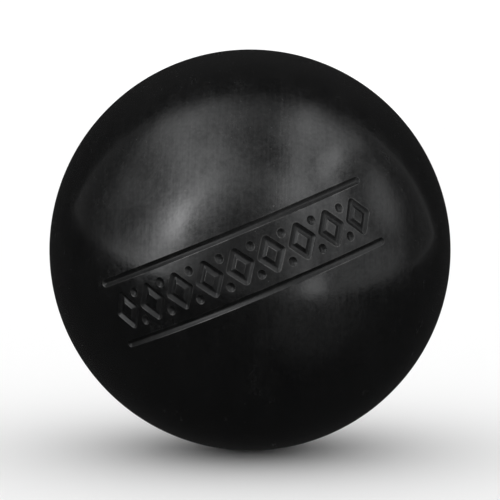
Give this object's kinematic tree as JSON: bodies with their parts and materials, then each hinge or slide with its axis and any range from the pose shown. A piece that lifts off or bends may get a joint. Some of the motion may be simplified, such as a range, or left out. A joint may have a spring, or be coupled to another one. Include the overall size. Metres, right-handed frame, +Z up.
{
  "type": "petanque boule",
  "caption": "Hollow black steel throwing ball made of half shells joined by a weld ring, with an engraved lozenge band between straight grooves.",
  "frame": {"origin": "centre of the ball", "axes": "+Z up, +Y is the axis of the weld and of both half shells, pointing to the plain rear shell; the engraved front shell faces -Y and +X is to its right"},
  "size_m": [0.074, 0.074, 0.074],
  "materials": {
    "black_steel": "satin",
    "weld_metal": "satin"
  },
  "bodies": {
    "root": {"front_shell": "black_steel", "rear_shell": "black_steel", "weld_ring": "weld_metal"}
  },
  "joints": []
}
